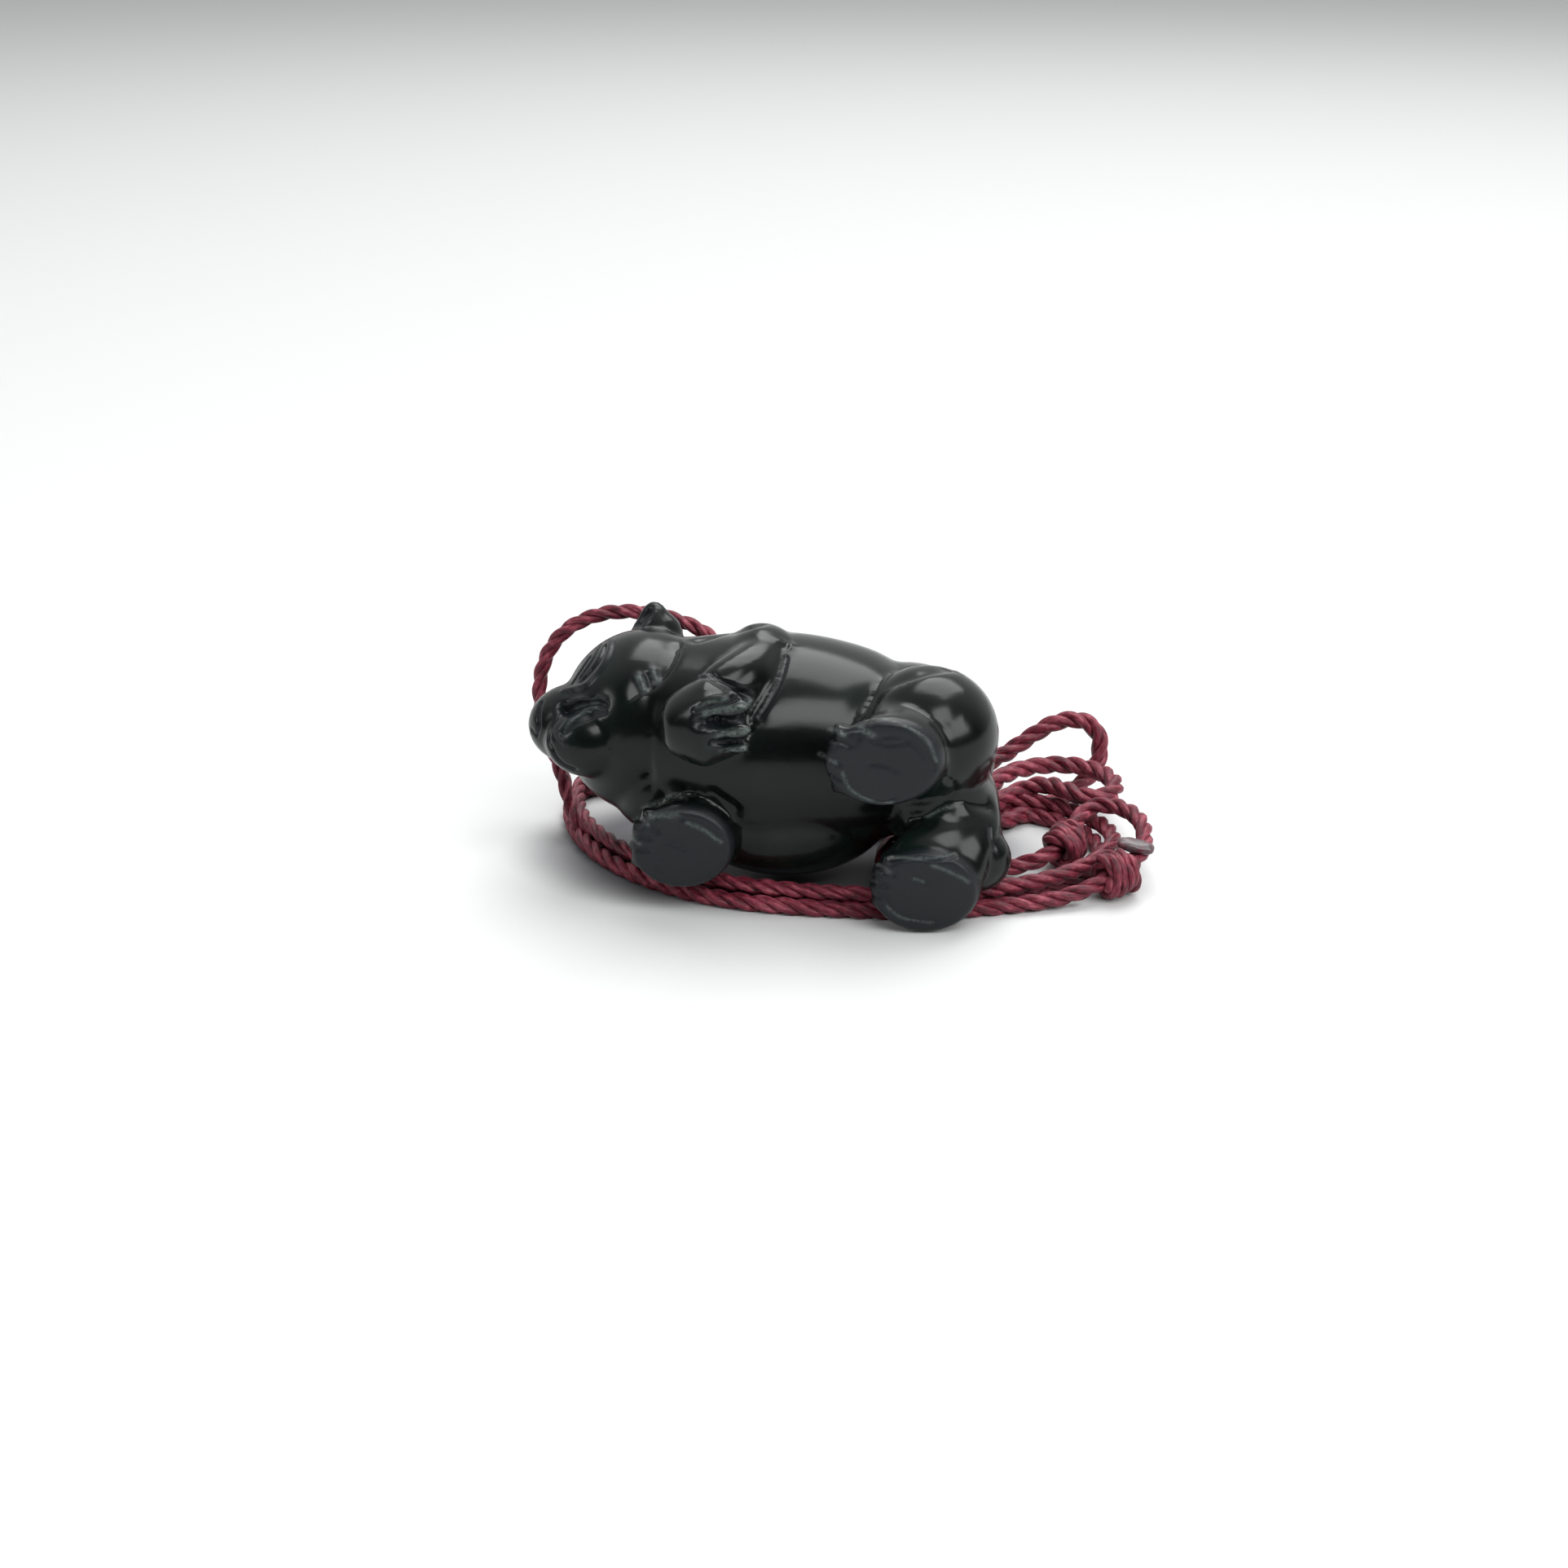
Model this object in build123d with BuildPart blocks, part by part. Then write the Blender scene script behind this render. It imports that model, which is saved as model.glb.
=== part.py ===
from build123d import *
import os
from math import pi, radians, tan

# A carved stone bear pendant that lies on its right side on its own neck cord.
# All sizes are millimetres. The floor is z = 0, the bear's nose points to -X,
# its soles face -Y and its left side is up. The origin is under the middle of
# the stone.

# The carving's driving sizes
bear_length = 48.0        # nose to rump, along X
bear_depth = 26.6         # soles to back, along Y
bear_width = 26.0         # lower foot to upper shoulder, along Z
hole_diameter = 2.6       # drilled from side to side through the shoulder hump
hole_along, hole_back = -0.094, 0.395   # its place, in shares of length and depth

# The neck cord's driving sizes
cord_diameter = 1.6
hank_width = 4.2          # across the bundle of turns
hank_height = 3.2
hank_edge = 1.2           # how round the bundle's edges are
hank_gap = 0.1            # left free round a knot or heel that sits in the bundle
knot_length = 4.6
knot_wraps = 3            # turns of cord round each sliding knot
tip_length = 3.2          # the melted end that stands out of the front knot
tip_diameter = 1.4


def at(along, back, high):
    """A place in the carving, from shares of its length, depth and width."""
    return (along * bear_length, back * bear_depth, high * bear_width)


# Rounded forms: centre, then radii, in shares of length, depth and width.
rounded_forms = {
    "rump": ((0.297, 0.085, 0.500), (0.188, 0.380, 0.325)),
    "head": ((-0.246, 0.139, 0.590), (0.178, 0.335, 0.358)),
    "muzzle": ((-0.385, 0.070, 0.606), (0.104, 0.160, 0.158)),
    "jaw": ((-0.352, -0.060, 0.590), (0.096, 0.128, 0.138)),
    "left_shoulder": ((-0.004, 0.075, 0.770), (0.100, 0.245, 0.230)),
    "left_thigh": ((0.333, -0.130, 0.645), (0.144, 0.263, 0.262)),
    "right_thigh": ((0.355, -0.105, 0.390), (0.118, 0.263, 0.215)),
    "right_heel": ((0.430, -0.290, 0.212), (0.074, 0.115, 0.130)),
}

# Ears: centre, radii and turn about X in degrees. The right one is hidden below.
ear_forms = {
    "left_ear": ((-0.231, 0.345, 0.880), (0.050, 0.085, 0.125), -25),
    "right_ear": ((-0.231, 0.345, 0.300), (0.050, 0.085, 0.125), 25),
}

# Trunk sections, neck to loin: place along the length, then the middle and the
# radii in depth and width.
trunk_sections = [
    (-0.220, 0.110, 0.575, 0.320, 0.345),
    (-0.130, 0.095, 0.560, 0.370, 0.372),
    (-0.020, 0.083, 0.545, 0.414, 0.405),
    (0.100, 0.083, 0.538, 0.405, 0.402),
    (0.220, 0.083, 0.516, 0.390, 0.366),
    (0.300, 0.083, 0.500, 0.350, 0.300),
]

# The same for the left fore paw, which is curled back, from its wrist to its claws
paw_sections = [
    (-0.203, -0.300, 0.762, 0.040, 0.045),
    (-0.182, -0.306, 0.762, 0.102, 0.106),
    (-0.121, -0.322, 0.764, 0.144, 0.150),
    (-0.071, -0.358, 0.775, 0.104, 0.138),
    (-0.021, -0.388, 0.781, 0.052, 0.106),
]

# Leg sections, body to sole: middle along, back and high, then the radii along
# and high. The last section is the flat ground sole.
leg_sections = {
    "left_foreleg": [
        (0.010, 0.019, 0.792, 0.090, 0.200),
        (-0.056, -0.165, 0.792, 0.090, 0.169),
        (-0.106, -0.270, 0.775, 0.066, 0.118),
    ],
    "right_foreleg": [
        (-0.073, -0.038, 0.385, 0.104, 0.192),
        (-0.125, -0.211, 0.304, 0.092, 0.158),
        (-0.160, -0.308, 0.280, 0.105, 0.170),
        (-0.164, -0.350, 0.273, 0.096, 0.152),
    ],
    "left_hind_leg": [
        (0.302, -0.113, 0.646, 0.125, 0.215),
        (0.277, -0.301, 0.654, 0.108, 0.177),
        (0.240, -0.421, 0.665, 0.118, 0.174),
        (0.236, -0.462, 0.669, 0.106, 0.156),
    ],
    "right_hind_leg": [
        (0.385, -0.094, 0.365, 0.100, 0.185),
        (0.388, -0.280, 0.310, 0.094, 0.142),
        (0.350, -0.395, 0.262, 0.104, 0.132),
        (0.328, -0.455, 0.175, 0.110, 0.168),
        (0.322, -0.500, 0.170, 0.100, 0.155),
    ],
}

# The route of the hank's turns: the middle of the bundle, seen from above.
hank_route = [
    (-20.0, 15.4), (-19.3, 11.2), (-17.6, 6.8), (-14.9, 2.4), (-10.6, -2.2),
    (-4.6, -6.0), (2.4, -7.8), (10.0, -8.6), (17.6, -8.6), (25.0, -7.2),
    (30.8, -5.0), (34.8, -2.0), (36.4, 1.6), (35.4, 6.0), (32.4, 10.2),
    (28.0, 13.2), (22.0, 12.8), (15.4, 9.8), (8.0, 7.0), (0.6, 6.4),
    (-6.4, 8.2), (-11.0, 11.0), (-13.2, 14.6), (-14.4, 18.0), (-17.0, 19.6),
    (-19.2, 18.2),
]

# The free stretches of the cord, each from hidden end to hidden end.
hole_x, hole_y, hole_z = at(hole_along, hole_back, 0.545)
arch_route = [
    (hole_x, hole_y, hole_z), (hole_x, hole_y, 19.6),
    (-5.4, 11.9, 21.5), (-8.2, 13.0, 22.6), (-11.4, 13.8, 23.2), (-14.6, 14.2, 23.4),
    (-17.4, 14.5, 22.9), (-20.0, 14.7, 21.7), (-21.9, 14.8, 19.9),
    (-23.1, 14.8, 17.7), (-23.7, 14.6, 15.3), (-23.7, 14.3, 12.8),
    (-23.2, 13.9, 10.4), (-22.3, 13.3, 7.9), (-21.4, 12.4, 5.5), (-20.6, 11.2, 3.2),
    (-19.6, 9.4, 1.6),
]
under_route = [
    (hole_x, hole_y, hole_z), (hole_x, hole_y, 8.6), (-4.6, 11.2, 5.2),
    (-5.6, 11.6, 2.9), (-7.6, 11.2, 1.6), (-9.6, 10.4, 1.4),
]
high_loop_route = [
    (19.4, 12.2, 2.2), (21.2, 16.4, 3.0), (23.6, 19.6, 3.6), (26.3, 21.2, 4.4), (28.7, 22.3, 5.7),
    (30.9, 22.8, 7.1), (33.0, 22.6, 8.0), (35.0, 21.8, 8.1), (36.3, 21.3, 7.0),
    (36.7, 21.0, 5.1), (36.2, 20.5, 3.1), (34.6, 19.2, 1.6), (32.2, 17.2, 0.95),
    (29.8, 15.0, 0.9), (28.2, 12.6, 1.2),
]
low_loop_route = [
    (22.4, 11.4, 2.4), (24.0, 14.8, 3.3), (26.0, 17.2, 3.8), (28.6, 18.7, 3.9), (31.4, 19.1, 4.1),
    (34.2, 17.9, 4.3), (36.5, 15.6, 4.4), (37.6, 12.9, 4.3), (36.7, 10.7, 4.15),
    (34.5, 10.9, 4.05), (32.4, 12.8, 3.9), (30.4, 15.0, 3.3), (28.0, 15.6, 2.3),
    (26.0, 13.6, 1.5),
]
lead_route = [
    (17.0, -6.0, 1.2), (19.6, -3.4, 0.9), (22.4, -0.8, 0.85), (25.2, 1.0, 0.9), (28.6, 1.5, 1.6),
]
link_route = [
    (31.4, 8.6, 2.2), (32.6, 7.4, 3.4), (34.6, 5.4, 4.1), (36.6, 3.4, 4.4),
    (38.0, 1.4, 4.3), (38.3, -0.6, 3.7), (37.6, -2.4, 2.9),
]

# Knots: middle, and the turn of their axis from X about Z in degrees.
knots = {
    "front_knot": ((35.0, -4.8, 2.5), 35),
    "back_knot": ((30.6, 1.8, 2.5), 60),
}
tip_start, tip_end = (35.7, -1.8, 4.6), (38.7, -2.5, 4.1)


def rounded_form(center, radii, turn=0):
    """An egg at its place in the carving, its poles along the bear.

    Its seam is turned too, or the read-back STEP file loses the rump.
    """
    with BuildPart() as form:
        Sphere(1, rotation=(0, 90, 90))
        scale(by=at(*radii))
    return Location(at(*center), (turn, 0, 0)) * form.part


def body_form(sections):
    """A form lofted along the bear's length."""
    with BuildPart() as form:
        for along, back, high, radius_back, radius_high in sections:
            cross = Plane(origin=at(along, back, high), x_dir=(0, 1, 0), z_dir=(1, 0, 0))
            with BuildSketch(cross):
                Ellipse(radius_back * bear_depth, radius_high * bear_width)
        loft()
    return form.part


def leg_form(sections):
    """A leg lofted from the body to its flat sole."""
    with BuildPart() as form:
        for along, back, high, radius_along, radius_high in sections:
            cross = Plane(origin=at(along, back, high), x_dir=(1, 0, 0), z_dir=(0, -1, 0))
            with BuildSketch(cross):
                Ellipse(radius_along * bear_length, radius_high * bear_width)
        loft()
    return form.part


def knot_place(center, turn):
    """Where a knot's own Z axis lies along its cord."""
    return Location(center, (0, 0, turn)) * Location((0, 0, 0), (0, 90, 0))


def lay_cord(name, route):
    """A plain tube along straight runs joined by tangent arcs."""
    points = [Vector(*point) for point in route]
    runs = [end - start for start, end in zip(points, points[1:])]
    radii = []
    for before, after in zip(runs, runs[1:]):
        half_turn = radians(before.get_angle(after)) / 2
        radii.append(0.45 * min(before.length, after.length) / tan(half_turn))
    with BuildPart() as tube:
        with BuildLine() as line:
            FilletPolyline(*points, radius=radii)
        with BuildSketch(Plane(origin=points[0], z_dir=runs[0])):
            Circle(cord_diameter / 2)
        sweep()
    section = pi * cord_diameter ** 2 / 4
    print(name, "radii", [round(radius, 1) for radius in radii])
    length = sum(edge.length for edge in line.edges())
    print(name, "length", round(length, 1), "volume share", round(tube.part.volume / section / length, 4))
    return tube.part


def keep_clear(tube, others):
    """The tube as far as the pieces that it runs into."""
    for other in others:
        tube = tube - other
    return tube.solids().sort_by(SortBy.VOLUME)[-1]


os.makedirs("parts", exist_ok=True)

# The carving: one stone
stone_forms = [body_form(trunk_sections), body_form(paw_sections)]
stone_forms += [rounded_form(center, radii) for center, radii in rounded_forms.values()]
stone_forms += [leg_form(sections) for sections in leg_sections.values()]
stone_forms += [rounded_form(*ear) for ear in ear_forms.values()]
with BuildPart() as bear:
    for form in stone_forms:
        add(form)
    with Locations((hole_x, hole_y, bear_width / 2)):
        Hole(hole_diameter / 2, depth=2 * bear_width)
bear.part.label = "bear"
export_step(bear.part, "parts/bear.step")

# The knots: turns of cord round the neck cord
wrap_pitch = (knot_length - cord_diameter) / (knot_wraps - 1)
knot_radius = 1.5 * cord_diameter
knot_parts = {}
for name, (center, turn) in knots.items():
    with BuildPart() as knot:
        Cylinder(1.2 * cord_diameter, knot_length - cord_diameter)
        for row in range(knot_wraps):
            with Locations((0, 0, (row - (knot_wraps - 1) / 2) * wrap_pitch)):
                Torus(cord_diameter, cord_diameter / 2)
    knot_parts[name] = knot_place(center, turn) * knot.part
    knot_parts[name].label = name
    export_step(knot_parts[name], "parts/" + name + ".step")

# The melted end of the cord, beside the front knot
with BuildPart() as melted_tip:
    with BuildSketch(Plane(origin=tip_start, z_dir=Vector(*tip_end) - Vector(*tip_start))):
        Circle(tip_diameter / 2)
    extrude(amount=tip_length)
    fillet(melted_tip.edges().filter_by(GeomType.CIRCLE), 0.45 * tip_diameter)
melted_tip.part.label = "melted_tip"
export_step(melted_tip.part, "parts/melted_tip.step")

# The hank: the outer shape of the turns that the bear lies on
heel_center, heel_radii = rounded_forms["right_heel"]
points = [Vector(x, y, hank_height / 2) for x, y in hank_route]
around = points[-1:] + points + points[:1]
corner_radii = []
for before, here, after in zip(around, around[1:], around[2:]):
    half_turn = radians((here - before).get_angle(after - here)) / 2
    shorter = min((here - before).length, (after - here).length)
    corner_radii.append(0.45 * shorter / tan(half_turn))
with BuildPart() as room_form:
    Sphere(1)
    scale(by=tuple(radius + hank_gap for radius in at(*heel_radii)))
heel_room = Location(at(*heel_center)) * room_form.part
with BuildPart() as hank:
    with BuildLine() as middle:
        FilletPolyline(*points, radius=corner_radii, close=True)
    with BuildSketch(Plane(origin=middle.line @ 0, x_dir=(0, 0, 1), z_dir=middle.line % 0)):
        RectangleRounded(hank_height, hank_width, hank_edge)
    sweep()
    for center, turn in knots.values():
        with Locations(knot_place(center, turn)):
            Cylinder(knot_radius + hank_gap, knot_length + 2 * hank_gap, mode=Mode.SUBTRACT)
    add(heel_room, mode=Mode.SUBTRACT)
hank_turn = sum(edge.length for edge in middle.edges())
print("hank turn", round(hank_turn, 1), "radii", [round(radius, 1) for radius in corner_radii])
hank.part.label = "hank"
export_step(hank.part, "parts/hank.step")

# The free stretches of cord
free_cords = {
    "cord_arch": arch_route, "cord_under": under_route, "cord_high_loop": high_loop_route,
    "cord_low_loop": low_loop_route, "cord_lead": lead_route, "cord_link": link_route,
}
for name, route in free_cords.items():
    tube = keep_clear(lay_cord(name, route), [hank.part, *knot_parts.values()])
    tube.label = name
    export_step(tube, "parts/" + name + ".step")
print("bear", bear.part.bounding_box(), "volume", round(bear.part.volume), len(bear.part.solids()))
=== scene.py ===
from math import copysign, cos, pi, radians, sin

import bmesh
import bpy
import numpy as np
from mathutils import Matrix, Vector, noise
from mathutils.bvhtree import BVHTree


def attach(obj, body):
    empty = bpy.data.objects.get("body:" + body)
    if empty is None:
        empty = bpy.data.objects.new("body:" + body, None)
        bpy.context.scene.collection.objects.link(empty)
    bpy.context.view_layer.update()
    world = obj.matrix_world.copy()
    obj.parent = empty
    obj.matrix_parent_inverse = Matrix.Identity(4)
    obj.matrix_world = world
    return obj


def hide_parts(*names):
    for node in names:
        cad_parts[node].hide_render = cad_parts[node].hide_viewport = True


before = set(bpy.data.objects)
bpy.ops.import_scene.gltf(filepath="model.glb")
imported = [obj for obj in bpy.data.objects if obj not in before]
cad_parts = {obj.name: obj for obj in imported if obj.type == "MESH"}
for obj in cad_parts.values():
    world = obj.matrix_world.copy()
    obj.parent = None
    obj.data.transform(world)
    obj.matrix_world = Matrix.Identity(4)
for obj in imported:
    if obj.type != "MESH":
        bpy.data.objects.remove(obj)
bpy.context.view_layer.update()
print("frame loaded")


def newObject(name, data):
    made = bpy.data.objects.new(name, data)
    bpy.context.scene.collection.objects.link(made)
    return made


def meshOf(form, name):
    mesh = bpy.data.meshes.new(name)
    form.to_mesh(mesh)
    form.free()
    return mesh


def smoothShade(mesh):
    mesh.polygons.foreach_set("use_smooth", [True] * len(mesh.polygons))


# The camera, fitted to the photograph

cameraSpec = {
    "place": (0.0020, -0.2013, 0.0980),
    "pitchDown": 23.6,  # degrees below level
    "pictureSide": 1924,  # pixels of the photograph
    "focalPixels": 2700,
    "sensor": 36.0,  # millimetres
    "nearest": 0.01,
}
pitch = radians(cameraSpec["pitchDown"])
aheadWay, upWay = (0, cos(pitch), -sin(pitch)), (0, sin(pitch), cos(pitch))
pictureMiddle = cameraSpec["pictureSide"] / 2


def makeCamera(spec):
    data = bpy.data.cameras.new("camera")
    data.sensor_width = spec["sensor"]
    data.lens = spec["sensor"] * spec["focalPixels"] / spec["pictureSide"]
    data.clip_start = spec["nearest"]
    camera = newObject("camera", data)
    camera.location = spec["place"]
    camera.rotation_euler = (radians(90 - spec["pitchDown"]), 0, 0)
    bpy.context.scene.camera = camera


def pictureRay(pixel):
    across, down = ((place - pictureMiddle) / cameraSpec["focalPixels"] for place in pixel)
    return (Vector(aheadWay) + Vector((1, 0, 0)) * across - Vector(upWay) * down).normalized()


def picturePixels(points):
    fromCamera = points - np.array(cameraSpec["place"])
    ahead = fromCamera @ np.array(aheadWay)
    upward = fromCamera @ np.array(upWay)
    focal = cameraSpec["focalPixels"]
    return np.stack([pictureMiddle + focal * fromCamera[:, 0] / ahead,
                     pictureMiddle - focal * upward / ahead], axis=1)


makeCamera(cameraSpec)

# The neck cord

cordSpec = {
    "diameter": 0.0016,
    "plies": 3,
    "pitch": 0.0066,  # length of one full twist
    "plyRadius": 0.262,  # as a share of the diameter
    "spread": 0.262,  # how far the plies stand from the middle, in the same way
    "step": 0.00030,  # between points along a ply
    "sideSteps": 2,  # how round a ply is
    "order": 3,  # of the smooth line through the control points
    "between": 24,  # points on it from one control to the next
    "samePlace": 1e-9,  # metres
    "upright": 1e-6,  # the sideways share under which a line counts as upright
}

# The middle of the bundle of turns, seen from above
hankRoute = [
    (-0.0200, 0.0154), (-0.0193, 0.0112), (-0.0176, 0.0068), (-0.0149, 0.0024),
    (-0.0106, -0.0022), (-0.0046, -0.0060), (0.0024, -0.0078), (0.0100, -0.0086),
    (0.0176, -0.0086), (0.0250, -0.0072), (0.0308, -0.0050), (0.0348, -0.0020),
    (0.0364, 0.0016), (0.0354, 0.0060), (0.0324, 0.0102), (0.0280, 0.0132),
    (0.0220, 0.0128), (0.0154, 0.0098), (0.0080, 0.0070), (0.0006, 0.0064),
    (-0.0064, 0.0082), (-0.0110, 0.0110), (-0.0132, 0.0146), (-0.0144, 0.0180),
    (-0.0170, 0.0196), (-0.0192, 0.0182),
]
archRoute = [
    (-0.0045, 0.0105, 0.0142), (-0.0045, 0.0105, 0.0196),
    (-0.0054, 0.0119, 0.0215), (-0.0082, 0.0130, 0.0226), (-0.0114, 0.0138, 0.0232),
    (-0.0146, 0.0142, 0.0234), (-0.0174, 0.0145, 0.0229), (-0.0200, 0.0147, 0.0217),
    (-0.0219, 0.0148, 0.0199), (-0.0231, 0.0148, 0.0177), (-0.0237, 0.0146, 0.0153),
    (-0.0237, 0.0143, 0.0128), (-0.0232, 0.0139, 0.0104), (-0.0223, 0.0133, 0.0079),
    (-0.0214, 0.0124, 0.0055), (-0.0206, 0.0108, 0.0032), (-0.0196, 0.0084, 0.0016),
]
underRoute = [
    (-0.0045, 0.0105, 0.0142), (-0.0045, 0.0105, 0.0086), (-0.0046, 0.0112, 0.0052),
    (-0.0054, 0.0115, 0.0031), (-0.0074, 0.0116, 0.0022),
]
highLoopRoute = [
    (0.0150, 0.0158, 0.0011), (0.0178, 0.0152, 0.0018),
    (0.0212, 0.0164, 0.0030), (0.0236, 0.0196, 0.0036), (0.0263, 0.0212, 0.0044),
    (0.0287, 0.0223, 0.0057), (0.0309, 0.0228, 0.0071), (0.0330, 0.0226, 0.0080),
    (0.0350, 0.0218, 0.0081), (0.0363, 0.0213, 0.0070), (0.0367, 0.0210, 0.0051),
    (0.0362, 0.0205, 0.0031), (0.0346, 0.0192, 0.0016), (0.0322, 0.0172, 0.0010),
    (0.0298, 0.0150, 0.0009), (0.0270, 0.0122, 0.0009),
]
lowLoopRoute = [
    (0.0224, 0.0114, 0.0024), (0.0240, 0.0148, 0.0033), (0.0260, 0.0172, 0.0038),
    (0.0286, 0.0187, 0.0039), (0.0314, 0.0191, 0.0041), (0.0342, 0.0181, 0.0043),
    (0.0364, 0.0159, 0.0044), (0.0374, 0.0131, 0.0043), (0.0364, 0.0103, 0.0042),
    (0.0338, 0.0098, 0.0041), (0.0317, 0.0121, 0.0042), (0.0300, 0.0144, 0.0038),
    (0.0278, 0.0151, 0.0030), (0.0254, 0.0131, 0.0027),
]
leadRoute = [
    (0.0196, -0.0040, 0.0009), (0.0216, -0.0018, 0.0009), (0.0238, -0.0008, 0.0010),
    (0.0262, -0.0006, 0.0014), (0.0280, -0.0006, 0.0021), (0.0296, 0.0003, 0.0025),
]
linkRoute = [
    (0.0316, 0.0038, 0.0027), (0.0324, 0.0064, 0.0033), (0.0341, 0.0081, 0.0041),
    (0.0364, 0.0075, 0.0044), (0.0380, 0.0052, 0.0045), (0.0386, 0.0026, 0.0044),
    (0.0385, 0.0002, 0.0040), (0.0378, -0.0020, 0.0032), (0.0362, -0.0040, 0.0025),
]

# Lanes of the bundle: how far outside its middle, and how high
outerLane, innerLane, topLane = (0.0012, 0.0008), (-0.0011, 0.0008), (0.0001, 0.0021)
swayTurn = 0.9  # radians from one point of the bundle to the next


def laneTurn(first, last, lane, sway=0.0, phase=0.0):
    points = []
    for step in range(first, last + 1):
        before, here, after = (Vector(hankRoute[(step + k) % len(hankRoute)])
                               for k in (-1, 0, 1))
        along = (after - before).normalized()
        outward = Vector((along.y, -along.x))
        aside = lane[0] + sway * sin(step * swayTurn + phase)
        spot = here + outward * aside
        points.append((spot.x, spot.y, lane[1]))
    return points


def smoothLine(controls):
    curve = bpy.data.curves.new("route", "CURVE")
    curve.dimensions = "3D"
    curve.resolution_u = cordSpec["between"]
    spline = curve.splines.new("NURBS")
    spline.points.add(len(controls) - 1)
    for point, place in zip(spline.points, controls):
        point.co = (*place, 1)
    spline.order_u = cordSpec["order"]
    spline.use_endpoint_u = True
    holder = bpy.data.objects.new("route", curve)
    mesh = bpy.data.meshes.new_from_object(holder)
    line = np.array([vertex.co for vertex in mesh.vertices])
    bpy.data.objects.remove(holder)
    bpy.data.meshes.remove(mesh)
    return line


def evenLine(line, step):
    gaps = np.linalg.norm(np.diff(line, axis=0), axis=1)
    line = line[np.concatenate([[True], gaps > cordSpec["samePlace"]])]
    run = np.concatenate([[0], np.cumsum(np.linalg.norm(np.diff(line, axis=0), axis=1))])
    places = np.linspace(0, run[-1], max(2, round(run[-1] / step)))
    return np.stack([np.interp(places, run, line[:, axis]) for axis in range(3)], axis=1), places


def sideFrames(line):
    along = np.gradient(line, axis=0)
    along /= np.linalg.norm(along, axis=1)[:, None]
    side = np.cross(along[0], (0.0, 0.0, 1.0))
    if np.linalg.norm(side) < cordSpec["upright"]:
        side = np.array((1.0, 0.0, 0.0))
    sides = []
    for direction in along:
        side = side - direction * np.dot(side, direction)
        side = side / np.linalg.norm(side)
        sides.append(side)
    sides = np.array(sides)
    return sides, np.cross(along, sides)


def twistCord(name, controls, spec, thickness=None):
    line, places = evenLine(smoothLine(controls), spec["step"])
    sides, ups = sideFrames(line)
    swell = np.ones(len(line))
    if thickness is not None:
        swell = np.interp(places / places[-1], *thickness)
    curve = bpy.data.curves.new(name, "CURVE")
    curve.dimensions = "3D"
    curve.bevel_depth = spec["plyRadius"] * spec["diameter"]
    curve.bevel_resolution = spec["sideSteps"]
    curve.use_fill_caps = True
    reach = spec["spread"] * spec["diameter"]
    for ply in range(spec["plies"]):
        turn = 2 * pi * (places / spec["pitch"] + ply / spec["plies"])
        around = np.cos(turn)[:, None] * sides + np.sin(turn)[:, None] * ups
        middle = line + around * (reach * swell)[:, None]
        spline = curve.splines.new("POLY")
        spline.points.add(len(line) - 1)
        spline.points.foreach_set("co", np.column_stack([middle, np.ones(len(line))]).ravel())
        spline.points.foreach_set("radius", swell)
    holder = bpy.data.objects.new(name + "Plies", curve)
    mesh = bpy.data.meshes.new_from_object(holder)
    bpy.data.objects.remove(holder)
    mesh.name = name
    cord = newObject(name, mesh)
    smoothShade(mesh)
    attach(cord, "root")
    return cord, line, places[-1]


rightEndInner = [
    (0.0240, -0.0060, 0.0008), (0.0284, -0.0040, 0.0008), (0.0318, -0.0018, 0.0008),
    (0.0342, 0.0012, 0.0008), (0.0348, 0.0052, 0.0008), (0.0330, 0.0096, 0.0008),
    (0.0290, 0.0128, 0.0009), (0.0242, 0.0134, 0.0008),
]
rightEndTop = [
    (0.0246, -0.0068, 0.0021), (0.0284, -0.0056, 0.0023), (0.0314, -0.0036, 0.0024),
    (0.0338, -0.0012, 0.0024), (0.0356, 0.0018, 0.0024), (0.0360, 0.0058, 0.0022),
    (0.0338, 0.0104, 0.0020), (0.0292, 0.0140, 0.0020), (0.0236, 0.0134, 0.0023),
    (0.0178, 0.0108, 0.0024), (0.0114, 0.0099, 0.0024), (0.0083, 0.0099, 0.0022),
    (0.0061, 0.0120, 0.0014), (0.0061, 0.0152, 0.0009), (0.0083, 0.0173, 0.0009),
    (0.0114, 0.0173, 0.0009),
]
hiddenTurnBack = [
    (0.0226, 0.0094, 0.0009), (0.0190, 0.0084, 0.0009), (0.0152, 0.0070, 0.0010),
    (0.0122, 0.0040, 0.0010), (0.0126, 0.0004, 0.0010), (0.0160, -0.0014, 0.0010),
    (0.0194, 0.0004, 0.0012), (0.0212, 0.0040, 0.0018), (0.0219, 0.0078, 0.0024),
]
hiddenTurnFront = [
    (0.0232, 0.0098, 0.0027), (0.0206, 0.0060, 0.0038), (0.0176, 0.0032, 0.0036),
    (0.0143, 0.0016, 0.0032), (0.0120, -0.0008, 0.0027), (0.0120, -0.0039, 0.0016),
    (0.0142, -0.0062, 0.0010), (0.0173, -0.0062, 0.0009),
]
outerEnd = [
    (0.0262, -0.0081, 0.0008), (0.0302, -0.0073, 0.0012), (0.0334, -0.0059, 0.0020),
    (0.0350, -0.0048, 0.0025), (0.0364, -0.0038, 0.0026),
]

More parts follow.
